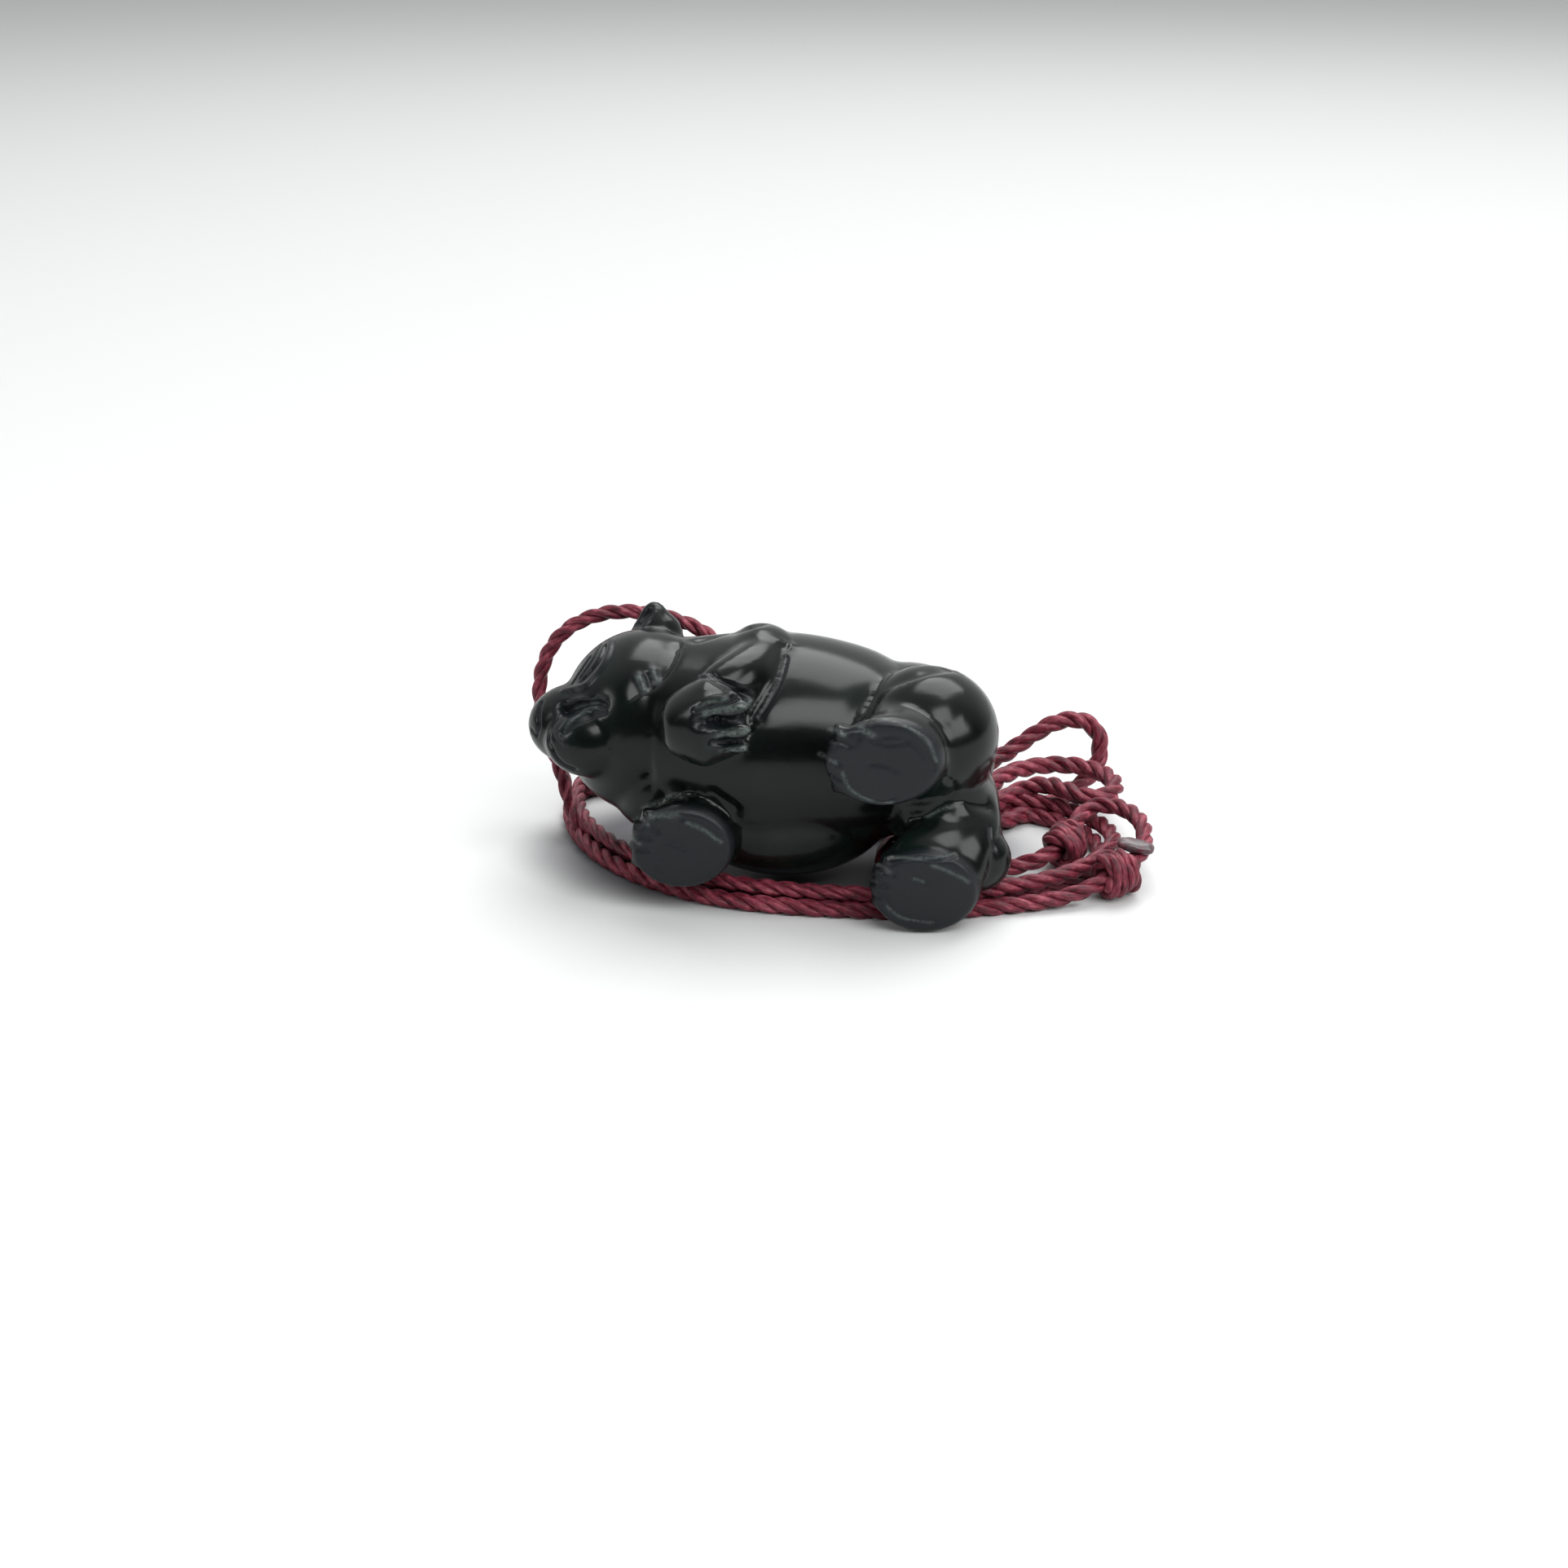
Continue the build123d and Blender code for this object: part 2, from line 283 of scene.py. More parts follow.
upperControls = (archRoute + laneTurn(2, 8, innerLane, 0.0002) + rightEndInner
                 + laneTurn(17, 20, outerLane, 0.0003) + laneTurn(21, 25, (0.0016, 0.0008))
                 + laneTurn(26, 34, outerLane, 0.0002, 1.0) + outerEnd)
lowerControls = (underRoute + laneTurn(21, 25, (0.0015, 0.0021))
                 + laneTurn(26, 34, topLane, 0.0003, 2.0) + rightEndTop + highLoopRoute
                 + hiddenTurnBack + lowLoopRoute + hiddenTurnFront + leadRoute + linkRoute)
# How thick each cord is along its length, where it lies slack or is pulled tight
upperSwell = ((0, 0.06, 0.17, 0.24, 0.80, 1), (0.90, 0.97, 0.99, 1.05, 1.08, 1.04))
lowerSwell = ((0, 0.30, 0.42, 0.80, 0.88, 1), (0.90, 1.04, 1.18, 1.20, 1.12, 1.08))
upperCord, upperLine, upperLength = twistCord(
    "neckCordUpper", upperControls, cordSpec, upperSwell)
lowerCord, lowerLine, lowerLength = twistCord(
    "neckCordLower", lowerControls, cordSpec, lowerSwell)
print("neck cord", round(upperLength, 4), round(lowerLength, 4))

# The two sliding knots: middle, turn of the axis about Z, and how its wraps lie
knotSpecs = {
    "backKnot": {"middle": (0.0306, 0.0018, 0.0025), "turn": 60, "wraps": 3.3, "start": 0.6,
                 "lean": 0.00042},
    "frontKnot": {"middle": (0.0350, -0.0048, 0.0025), "turn": 35, "wraps": 3.4, "start": 3.4,
                  "lean": 0.00034},
}
knotSize = {
    "length": 0.0047,
    "radius": 0.00162,  # to the middle of a wrap
    "steps": 9,  # points in one wrap
    "unevenness": 0.07,
    "unevenTurn": 1.7,  # radians from one point to the next
    "leanTurn": 0.8,  # radians
    "tuck": 0.4,  # where an end lies, as a share of half the length
}


def windKnot(name, spec):
    middle = Vector(spec["middle"])
    turn = radians(spec["turn"])
    axis, side = Vector((cos(turn), sin(turn), 0)), Vector((-sin(turn), cos(turn), 0))
    upward = Vector((0, 0, 1))
    count = round(spec["wraps"] * knotSize["steps"])
    half = (knotSize["length"] - cordSpec["diameter"]) / 2
    controls = [middle - axis * half * knotSize["tuck"]]
    for step in range(count + 1):
        angle = spec["start"] + 2 * pi * step / knotSize["steps"]
        along = (2 * step / count - 1) * half + spec["lean"] * cos(angle + knotSize["leanTurn"])
        wave = sin(step * knotSize["unevenTurn"] + spec["turn"])
        radius = knotSize["radius"] * (1 + knotSize["unevenness"] * wave)
        controls.append(middle + axis * along + side * radius * cos(angle)
                        + upward * radius * sin(angle))
    controls.append(middle + axis * half * knotSize["tuck"])
    knot, _, length = twistCord(name, controls, cordSpec)
    return knot, length


backKnot, backKnotLength = windKnot("backKnot", knotSpecs["backKnot"])
frontKnot, frontKnotLength = windKnot("frontKnot", knotSpecs["frontKnot"])

tipSpec = {
    "start": (0.0353, -0.0018, 0.0045),
    "end": (0.0390, -0.0026, 0.0040),
    "width": 0.0021,
    "height": 0.0013,
    "bluntness": 0.6,  # 1 is an egg, and less is squarer at the ends
    "lumps": 0.00012,
    "lumpScale": 1400,
    "fineness": 4,
}


def meltTip(spec):
    start, end = Vector(spec["start"]), Vector(spec["end"])
    along = end - start
    facing = along.to_track_quat("X", "Z").to_matrix().to_4x4()
    form = bmesh.new()
    bmesh.ops.create_icosphere(form, subdivisions=spec["fineness"], radius=1)
    for vertex in form.verts:
        vertex.co.x = copysign(abs(vertex.co.x) ** spec["bluntness"], vertex.co.x)
    size = Matrix.Diagonal((along.length / 2, spec["width"] / 2, spec["height"] / 2, 1))
    placed = Matrix.Translation((start + end) / 2) @ facing @ size
    bmesh.ops.transform(form, matrix=placed, verts=form.verts)
    form.normal_update()
    for vertex in form.verts:
        lump = noise.noise(vertex.co * spec["lumpScale"])
        vertex.co += vertex.normal * spec["lumps"] * lump
    tip = newObject("meltedTip", meshOf(form, "meltedTip"))
    smoothShade(tip.data)
    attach(tip, "root")
    return tip


meltedTip = meltTip(tipSpec)
print("knots and tip")
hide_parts("back_knot")
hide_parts("front_knot")
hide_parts("melted_tip")

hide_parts("cord_arch", "hank")
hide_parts("cord_under", "cord_high_loop", "cord_low_loop", "cord_lead", "cord_link")
holeTop, holeBottom = (-0.0045, 0.0105, 0.0195), (-0.0045, 0.0105, 0.0086)

# The materials


def newMaterial(name, color, roughness):
    material = bpy.data.materials.new(name)
    material.use_nodes = True
    shader = material.node_tree.nodes["Principled BSDF"]
    shader.inputs["Base Color"].default_value = (*color, 1)
    shader.inputs["Roughness"].default_value = roughness
    return material, shader


def addNode(tree, kind, **settings):
    node = tree.nodes.new(kind)
    for name, value in settings.items():
        if name in node.inputs:
            node.inputs[name].default_value = value
        else:
            setattr(node, name, value)
    return node


def joinNodes(tree, *links):
    for source, outlet, target, inlet in links:
        tree.links.new(source.outputs[outlet], target.inputs[inlet])


def addRamp(tree, places, colors):
    ramp = tree.nodes.new("ShaderNodeValToRGB")
    while len(ramp.color_ramp.elements) < len(places):
        ramp.color_ramp.elements.new(0.5)
    for element, place, color in zip(ramp.color_ramp.elements, places, colors):
        element.position = place
        element.color = (*color, 1) if isinstance(color, tuple) else (color, color, color, 1)
    return ramp


def addMath(tree, operation, second=None, third=None, clamp=False):
    node = addNode(tree, "ShaderNodeMath", operation=operation, use_clamp=clamp)
    for inlet, value in ((1, second), (2, third)):
        if value is not None:
            node.inputs[inlet].default_value = value
    return node


def addNoise(tree, place, looks):
    scale, detail, roughness = looks
    node = addNode(tree, "ShaderNodeTexNoise", Scale=scale, Detail=detail, Roughness=roughness)
    joinNodes(tree, (place, "Object", node, "Vector"))
    return node


# Sockets of a mix of two colours
mixShare, mixFirst, mixSecond, mixResult = 0, 6, 7, 2


def addMix(tree, second):
    node = addNode(tree, "ShaderNodeMix", data_type="RGBA")
    node.inputs[mixSecond].default_value = (*second, 1)
    return node


def addRange(tree, side, ends):
    node = addNode(tree, "ShaderNodeMapRange")
    node.inputs[side + " Min"].default_value, node.inputs[side + " Max"].default_value = ends
    return node


def addBump(tree, looks):
    return addNode(tree, "ShaderNodeBump", Distance=looks[0], Strength=looks[1])


# A noise is its scale, detail and roughness, and a bump its depth in metres and strength
stoneFinish = {
    "black": (0.0026, 0.0034, 0.0033),
    "green": (0.0050, 0.0105, 0.0088),
    "satin": (0.0100, 0.0120, 0.0145),  # where the tool's marks were left unpolished
    # painted highlight: pale colour laid on claws, rims, lips and ruff facets where light glints
    "paintedHighlight": (0.085, 0.104, 0.098),
    "polished": 0.20,  # roughness
    "unpolished": 0.42,
    "specular": 0.24,
    "clouds": (110.0, 6.0, 0.6),
    "cloudStops": (0.42, 0.72),
    "flecks": (1500.0, 3.0, 0.5),
    "fleckStops": (0.60, 0.78),
    "fleckShare": 0.35,
    "grain": (5200.0, 3.0, 0.6),
    "grainShare": (0.55, 0.62),  # how the grain breaks up the satin: times, plus
    # noise that makes the painted highlight patchy, and the range it is read over
    "highlightBreakup": (2600.0, 4.0, 0.65),
    "highlightBreakupRange": (0.28, 0.58),
    "bump": (0.00004, 0.5),
}


def stoneMaterial(finish):
    material, shader = newMaterial("polishedStone", finish["black"], finish["polished"])
    shader.inputs["Specular IOR Level"].default_value = finish["specular"]
    tree = material.node_tree
    place = addNode(tree, "ShaderNodeTexCoord")
    clouds, flecks, grain, highlightBreakup = (addNoise(tree, place, finish[name])
                                        for name in ("clouds", "flecks", "grain", "highlightBreakup"))
    satin, paintedHighlight = (addNode(tree, "ShaderNodeAttribute", attribute_name=name)
                   for name in ("satin", "paintedHighlight"))
    cloudRamp = addRamp(tree, finish["cloudStops"], (finish["black"], finish["green"]))
    fleckRamp = addRamp(tree, finish["fleckStops"], (0.0, finish["fleckShare"]))
    flecked, satinned = addMix(tree, finish["satin"]), addMix(tree, finish["satin"])
    # The painted highlight: pale colour over the stone, broken up by noise
    withPaintedHighlight = addMix(tree, finish["paintedHighlight"])
    grainy = addMath(tree, "MULTIPLY_ADD", *finish["grainShare"])
    satinPart = addMath(tree, "MULTIPLY", clamp=True)
    paintedHighlightPart = addMath(tree, "MULTIPLY", clamp=True)
    height = addMath(tree, "MULTIPLY")
    roughness = addRange(tree, "To", (finish["polished"], finish["unpolished"]))
    brokenHighlight = addRange(tree, "From", finish["highlightBreakupRange"])
    bump = addBump(tree, finish["bump"])
    joinNodes(tree, (clouds, "Fac", cloudRamp, "Fac"), (flecks, "Fac", fleckRamp, "Fac"),
              (cloudRamp, "Color", flecked, mixFirst), (fleckRamp, "Color", flecked, mixShare),
              (grain, "Fac", grainy, 0), (satin, "Fac", satinPart, 0), (grainy, 0, satinPart, 1),
              (satinPart, 0, roughness, "Value"), (roughness, "Result", shader, "Roughness"),
              (flecked, mixResult, satinned, mixFirst), (satinPart, 0, satinned, mixShare),
              (highlightBreakup, "Fac", brokenHighlight, "Value"), (paintedHighlight, "Fac", paintedHighlightPart, 0),
              (brokenHighlight, "Result", paintedHighlightPart, 1), (satinned, mixResult, withPaintedHighlight, mixFirst),
              (paintedHighlightPart, 0, withPaintedHighlight, mixShare), (withPaintedHighlight, mixResult, shader, "Base Color"),
              (grain, "Fac", height, 0), (satin, "Fac", height, 1), (height, 0, bump, "Height"),
              (bump, "Normal", shader, "Normal"))
    return material


cordFinish = {
    "shade": (0.045, 0.0026, 0.0085),
    "thread": (0.142, 0.0115, 0.0265),
    "light": (0.320, 0.070, 0.098),
    "stops": (0.38, 0.51, 0.66),
    "fibreLength": 0.0009,
    "fibres": 7,  # round one ply
    "fibreNoise": (1.0, 4.0, 0.55),
    "fibreBend": 0.4,
    "fibreShare": 0.55,  # in the colour
    "patches": (420.0, 3.0, 0.6),
    "patchShare": 0.45,
    "roughness": 0.44,
    "roughnessRange": (0.34, 0.66),
    "specular": 0.34,
    "sheen": 0.08,
    "sheenRoughness": 0.4,
    "sheenTint": (1.0, 0.62, 0.70),
    "bump": (0.00016, 1.0),
}


def cordMaterial(name, finish, runLength):
    material, shader = newMaterial(name, finish["thread"], finish["roughness"])
    shader.inputs["Specular IOR Level"].default_value = finish["specular"]
    shader.inputs["Sheen Weight"].default_value = finish["sheen"]
    shader.inputs["Sheen Roughness"].default_value = finish["sheenRoughness"]
    shader.inputs["Sheen Tint"].default_value = (*finish["sheenTint"], 1)
    tree = material.node_tree
    place = addNode(tree, "ShaderNodeTexCoord")
    along = addNode(tree, "ShaderNodeMapping",
                    Scale=(runLength / finish["fibreLength"], finish["fibres"], 1))
    scale, detail, roughness = finish["fibreNoise"]
    fibres = addNode(tree, "ShaderNodeTexNoise", Scale=scale, Detail=detail, Roughness=roughness,
                     Distortion=finish["fibreBend"])
    patches = addNoise(tree, place, finish["patches"])
    ramp = addRamp(tree, finish["stops"], (finish["shade"], finish["thread"], finish["light"]))
    blend = addMath(tree, "MULTIPLY_ADD", finish["fibreShare"])
    patchy = addMath(tree, "MULTIPLY", finish["patchShare"])
    furry = addRange(tree, "To", finish["roughnessRange"])
    bump = addBump(tree, finish["bump"])
    joinNodes(tree, (place, "UV", along, "Vector"), (along, "Vector", fibres, "Vector"),
              (patches, "Fac", patchy, 0), (fibres, "Fac", blend, 0), (patchy, 0, blend, 2),
              (blend, 0, ramp, "Fac"), (ramp, "Color", shader, "Base Color"),
              (patches, "Fac", furry, "Value"), (furry, "Result", shader, "Roughness"),
              (fibres, "Fac", bump, "Height"), (bump, "Normal", shader, "Normal"))
    return material


stone = stoneMaterial(stoneFinish)
upperThread = cordMaterial("upperCordThread", cordFinish, upperLength)
lowerThread = cordMaterial("lowerCordThread", cordFinish, lowerLength)
upperCord.data.materials.append(upperThread)
lowerCord.data.materials.append(lowerThread)
backKnot.data.materials.append(cordMaterial("backKnotThread", cordFinish, backKnotLength))
frontKnot.data.materials.append(cordMaterial("frontKnotThread", cordFinish, frontKnotLength))

tipFinish = {
    "grey": (0.115, 0.105, 0.110),
    "threads": (0.135, 0.030, 0.045),  # what is left of the cord's colour
    "stops": (0.40, 0.62),
    "streaks": (900.0, 4.0, 0.6),
    "roughness": 0.28,
    "clearness": 0.35,
    "bump": (0.00012, 0.8),
}


def tipMaterial(finish):
    material, shader = newMaterial("meltedCord", finish["grey"], finish["roughness"])
    shader.inputs["Transmission Weight"].default_value = finish["clearness"]
    tree = material.node_tree
    streaks = addNoise(tree, addNode(tree, "ShaderNodeTexCoord"), finish["streaks"])
    ramp = addRamp(tree, finish["stops"], (finish["grey"], finish["threads"]))
    bump = addBump(tree, finish["bump"])
    joinNodes(tree, (streaks, "Fac", ramp, "Fac"), (ramp, "Color", shader, "Base Color"),
              (streaks, "Fac", bump, "Height"), (bump, "Normal", shader, "Normal"))
    return material


meltedTip.data.materials.append(tipMaterial(tipFinish))
# The solids of the frame get the same looks
for name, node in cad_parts.items():
    node.data.materials.clear()
    node.data.materials.append(stone if name == "bear" else upperThread)

# The stone bear

bearSpec = {
    "length": 0.0480,  # nose to rump
    "depth": 0.0266,  # soles to back
    "width": 0.0260,  # lower foot to upper shoulder
    "grain": 0.00033,  # size of the faces
    "softening": 10,  # rounds of smoothing on the plain forms
    "carvedSoftening": 4,  # the same where claws and toes stand
    "finerBulge": 0.6,  # how round the finer faces are set
    "turned": 0.05,  # how far skin faces the camera to count as seen
    "eggFineness": 5,
    "clawFineness": 3,
    "toeFlare": -0.3,
    "ringSides": 64,
    "holeRadius": 0.0012,
    "holeSides": 40,
    "drillLength": 1.8,  # in lengths of the hole
}

# Forms of the stone in shares of its length, depth and width: middle, radii, and a turn
# about its length in degrees
bearForms = {
    "rump": ((0.297, 0.085, 0.500), (0.188, 0.380, 0.325), 0),
    "head": ((-0.246, 0.139, 0.590), (0.178, 0.335, 0.358), 0),
    "brow": ((-0.330, 0.170, 0.640), (0.085, 0.200, 0.215), 0),
    "muzzle": ((-0.385, 0.070, 0.606), (0.104, 0.160, 0.158), 0),
    "muzzleRoot": ((-0.345, 0.075, 0.606), (0.100, 0.170, 0.175), 0),
    "jaw": ((-0.352, -0.060, 0.590), (0.096, 0.128, 0.138), 0),
    "belly": ((0.045, 0.030, 0.280), (0.225, 0.310, 0.255), 0),
    "throat": ((-0.215, 0.060, 0.400), (0.110, 0.260, 0.215), 0),
    "leftShoulder": ((-0.004, 0.075, 0.770), (0.100, 0.245, 0.230), 0),
    "leftThigh": ((0.333, -0.130, 0.645), (0.144, 0.263, 0.262), 0),
    "rightThigh": ((0.355, -0.105, 0.390), (0.118, 0.263, 0.215), 0),
    "rightHeel": ((0.430, -0.290, 0.212), (0.074, 0.115, 0.130), 0),
    "leftEar": ((-0.226, 0.335, 0.868), (0.056, 0.080, 0.100), -25),
    "leftEarTip": ((-0.232, 0.352, 0.915), (0.034, 0.062, 0.085), -25),
    "rightEar": ((-0.231, 0.345, 0.300), (0.050, 0.085, 0.125), 25),
    "tail": ((0.462, 0.235, 0.500), (0.030, 0.060, 0.070), 0),
}

# Claws in the same shares, turned about the bear's depth, and how their far ends flare
clawForms = {
    "pawThumb": ((-0.084, -0.420, 0.908), (0.046, 0.024, 0.016), -10, 0.2),
    "pawClawUpper": ((-0.076, -0.436, 0.868), (0.055, 0.044, 0.044), -10, 0.8),
    "pawClawMiddle": ((-0.064, -0.442, 0.789), (0.045, 0.042, 0.041), -5, 0.8),
    "pawClawLower": ((-0.056, -0.434, 0.722), (0.034, 0.040, 0.034), -4, 0.8),
}

# Toes in the same way, all tapered alike
toeForms = {
    "leftToeUpper": ((0.160, -0.402, 0.772), (0.026, 0.056, 0.036), 24),
    "leftToeSecond": ((0.148, -0.402, 0.708), (0.026, 0.056, 0.037), 10),
    "leftToeThird": ((0.147, -0.402, 0.638), (0.026, 0.056, 0.037), -4),
    "leftToeLower": ((0.156, -0.402, 0.568), (0.026, 0.056, 0.037), -20),
    "rightToeUpper": ((0.256, -0.444, 0.282), (0.026, 0.052, 0.032), 32),
    "rightToeSecond": ((0.240, -0.444, 0.236), (0.026, 0.052, 0.034), 16),
    "rightToeThird": ((0.234, -0.444, 0.180), (0.026, 0.052, 0.035), 2),
    "rightToeLower": ((0.238, -0.444, 0.122), (0.026, 0.052, 0.035), -16),
    "foreToeUpper": ((-0.224, -0.300, 0.388), (0.026, 0.046, 0.035), 40),
    "foreToeSecond": ((-0.244, -0.300, 0.340), (0.025, 0.046, 0.036), 20),
    "foreToeThird": ((-0.252, -0.300, 0.280), (0.024, 0.046, 0.037), 4),
    "foreToeLower": ((-0.246, -0.300, 0.218), (0.025, 0.046, 0.037), -16),
}

# Lofted forms along the length: along, back, high, radius back, radius high
trunkSections = [
    (-0.220, 0.110, 0.575, 0.320, 0.345), (-0.130, 0.095, 0.560, 0.370, 0.372),
    (-0.020, 0.083, 0.545, 0.414, 0.405), (0.100, 0.083, 0.538, 0.405, 0.402),
    (0.220, 0.083, 0.516, 0.390, 0.366), (0.300, 0.083, 0.500, 0.350, 0.300),
]
pawSections = [
    (-0.203, -0.300, 0.762, 0.040, 0.045), (-0.182, -0.306, 0.762, 0.102, 0.106),
    (-0.121, -0.322, 0.775, 0.144, 0.164), (-0.088, -0.340, 0.778, 0.100, 0.150),
    (-0.062, -0.340, 0.774, 0.074, 0.126), (-0.035, -0.344, 0.779, 0.054, 0.104),
]

# Legs from the body to the sole: along, back, high, radius along, radius high
legSections = {
    "leftForeleg": [
        (0.010, 0.019, 0.792, 0.090, 0.200), (-0.056, -0.165, 0.792, 0.090, 0.169),
        (-0.106, -0.270, 0.775, 0.066, 0.118),
    ],
    "rightForeleg": [
        (-0.073, -0.038, 0.385, 0.104, 0.192), (-0.125, -0.211, 0.304, 0.092, 0.158),
        (-0.160, -0.308, 0.280, 0.105, 0.170), (-0.164, -0.350, 0.273, 0.096, 0.152),
    ],
    "leftHindLeg": [
        (0.302, -0.113, 0.646, 0.125, 0.215), (0.277, -0.301, 0.654, 0.108, 0.177),
        (0.240, -0.421, 0.665, 0.118, 0.174), (0.236, -0.462, 0.669, 0.106, 0.156),
    ],
    "rightHindLeg": [
        (0.385, -0.094, 0.365, 0.100, 0.185), (0.388, -0.280, 0.310, 0.094, 0.142),
        (0.350, -0.395, 0.262, 0.104, 0.132), (0.328, -0.455, 0.175, 0.110, 0.168),
        (0.322, -0.500, 0.170, 0.100, 0.155),
    ],
}

# Parts of the picture with fine carving, which get finer faces: left, top, right, bottom
carvedZones = {
    "face": (640, 730, 842, 962),
    "paw": (804, 812, 934, 948),
    "leftSole": (990, 876, 1160, 1004),
    "rightSole": (1050, 1014, 1246, 1152),
    "foreSole": (762, 956, 912, 1104),
    "arm": (920, 770, 985, 900),
    "thigh": (1060, 815, 1185, 890),
}

# Strokes of the carving, at their pixels in the picture. A groove is cut in, a ridge
# stands out, and a step lowers the side to the right of its direction. Width and depth
# are in millimetres, and a step's third number is how far it fades.
bodyStrokes = [
    ("step", (0.55, 0.50, 2.6), [(969, 780), (966, 800), (958, 826), (944, 852), (930, 880)]),
    ("step", (0.60, 0.40, 3.0), [(1176, 822), (1138, 828), (1094, 844), (1076, 862),
                                 (1066, 884)]),
    ("groove", (0.60, 0.30), [(941, 763), (912, 772), (880, 780), (856, 786)]),
    ("groove", (0.60, 0.35), [(1120, 1004), (1140, 1000), (1160, 990), (1188, 985), (1214, 990)]),
    ("ridge", (0.35, 0.16), [(1136, 1003), (1156, 993), (1173, 989), (1185, 988)]),
    ("groove", (0.25, 0.18), [(1160, 954), (1170, 962), (1170, 973), (1161, 980)]),
    ("groove", (0.60, 0.30), [(876, 974), (888, 982), (901, 991)]),
    ("step", (0.30, 0.45, 2.2), [(838, 778), (834, 800), (823, 821), (809, 838), (793, 849)]),
]
fineStrokes = [
    ("groove", (0.20, 0.26), [(968, 786), (965, 806), (957, 836), (945, 860), (932, 880)]),
    # the curled fore paw
    ("ridge", (0.22, 0.20), [(848, 832), (862, 830), (876, 831), (888, 840), (896, 847),
                             (902, 853)]),
    ("groove", (0.24, 0.40), [(874, 828), (884, 835), (896, 840), (906, 845), (914, 850)]),
    ("groove", (0.45, 0.60), [(906, 851), (912, 852), (918, 853)]),
    ("groove", (0.20, 0.34), [(852, 872), (870, 868), (891, 863), (907, 856)]),
    ("groove", (0.55, 0.70), [(858, 887), (870, 887), (884, 885)]),
    ("groove", (0.35, 0.40), [(876, 885), (896, 884), (912, 883)]),
    ("groove", (0.32, 0.40), [(874, 912), (890, 911), (908, 909)]),
    # the left hind foot
    ("groove", (0.18, 0.30), [(1012, 909), (1020, 908), (1030, 910), (1042, 915)]),
    ("groove", (0.18, 0.30), [(1010, 930), (1018, 931), (1030, 938)]),
    ("groove", (0.18, 0.28), [(1010, 950), (1018, 952), (1030, 957)]),
    ("groove", (0.16, 0.22), [(1035, 951), (1042, 962), (1050, 974), (1062, 980), (1082, 986),
                              (1098, 982)]),
    ("groove", (0.16, 0.20), [(1076, 911), (1092, 914), (1112, 912)]),
    ("groove", (0.24, 0.16), [(1069, 937), (1082, 938), (1092, 941), (1100, 946)]),
    ("groove", (0.20, 0.20), [(1034, 898), (1049, 895), (1060, 897), (1071, 908), (1092, 904),
                              (1110, 908), (1124, 916), (1138, 930), (1147, 944)]),
    # the right hind foot
    ("groove", (0.20, 0.24), [(1076, 1062), (1086, 1067), (1097, 1074)]),
    ("groove", (0.20, 0.24), [(1058, 1080), (1074, 1084), (1088, 1088)]),
    ("groove", (0.18, 0.22), [(1060, 1100), (1074, 1100), (1084, 1102)]),
    ("groove", (0.16, 0.20), [(1087, 1100), (1090, 1112), (1097, 1121), (1119, 1130),
                              (1146, 1132)]),
    ("groove", (0.20, 0.12), [(1121, 1077), (1130, 1080), (1137, 1084)]),
    ("groove", (0.20, 0.22), [(1093, 1054), (1110, 1053), (1128, 1053), (1147, 1056),
                              (1161, 1054), (1172, 1050)]),
    ("groove", (0.18, 0.20), [(1215, 1016), (1216, 1028), (1220, 1042)]),
    # the right fore foot
    ("groove", (0.18, 0.26), [(782, 1006), (794, 1008), (800, 1016), (808, 1021)]),
    ("groove", (0.18, 0.24), [(768, 1024), (784, 1026), (798, 1030)]),
    ("groove", (0.18, 0.22), [(768, 1042), (784, 1043), (796, 1044)]),
    ("groove", (0.18, 0.20), [(800, 1000), (820, 1001), (842, 1006), (862, 1014), (880, 1026)]),
    ("groove", (0.22, 0.14), [(820, 1034), (830, 1038), (840, 1043)]),
    ("groove", (0.16, 0.14), [(813, 1040), (811, 1054)]),
    ("groove", (0.16, 0.12), [(804, 1070), (812, 1074)]),
    # the face
    ("groove", (0.22, 0.28), [(664, 862), (661, 874), (661, 889), (658, 902)]),
    ("groove", (0.20, 0.22), [(652, 896), (655, 899)]),
    ("groove", (0.30, 0.60), [(690, 867), (700, 865), (714, 864), (728, 862), (742, 865)]),
    ("groove", (0.60, 0.75), [(692, 868), (697, 871), (704, 874)]),
    ("ridge", (0.22, 0.22), [(689, 895), (697, 885), (709, 877), (720, 870), (731, 866),
                             (741, 864)]),
    ("groove", (0.20, 0.26), [(694, 897), (704, 889), (720, 882), (731, 877), (742, 875)]),
    ("groove", (0.24, 0.36), [(690, 872), (680, 886), (674, 899), (673, 911), (677, 919),
                              (682, 929), (691, 938), (704, 944)]),
    ("ridge", (0.24, 0.12), [(683, 900), (688, 907), (694, 913)]),
    ("ridge", (0.34, 0.24), [(749, 784), (748, 797), (741, 814), (730, 829), (719, 840),
                             (704, 845), (692, 848)]),
    ("ridge", (0.22, 0.16), [(694, 864), (704, 860), (716, 858), (727, 861), (735, 856),
                             (743, 859)]),
    ("groove", (0.17, 0.36), [(743, 792), (740, 801), (734, 812), (724, 825), (713, 836)]),
    ("groove", (0.15, 0.24), [(737, 790), (727, 810), (712, 832)]),
    ("groove", (0.16, 0.30), [(724, 806), (714, 821), (703, 838)]),
    ("ridge", (0.40, 0.20), [(784, 830), (787, 838), (790, 846)]),
    ("ridge", (0.36, 0.20), [(802, 823), (804, 830), (807, 837)]),
    ("groove", (0.22, 0.18), [(794, 828), (797, 836), (799, 844)]),
    ("groove", (0.60, 0.60), [(783, 762), (789, 755), (796, 750)]),
    ("ridge", (0.24, 0.20), [(790, 768), (797, 757), (803, 747)]),
]
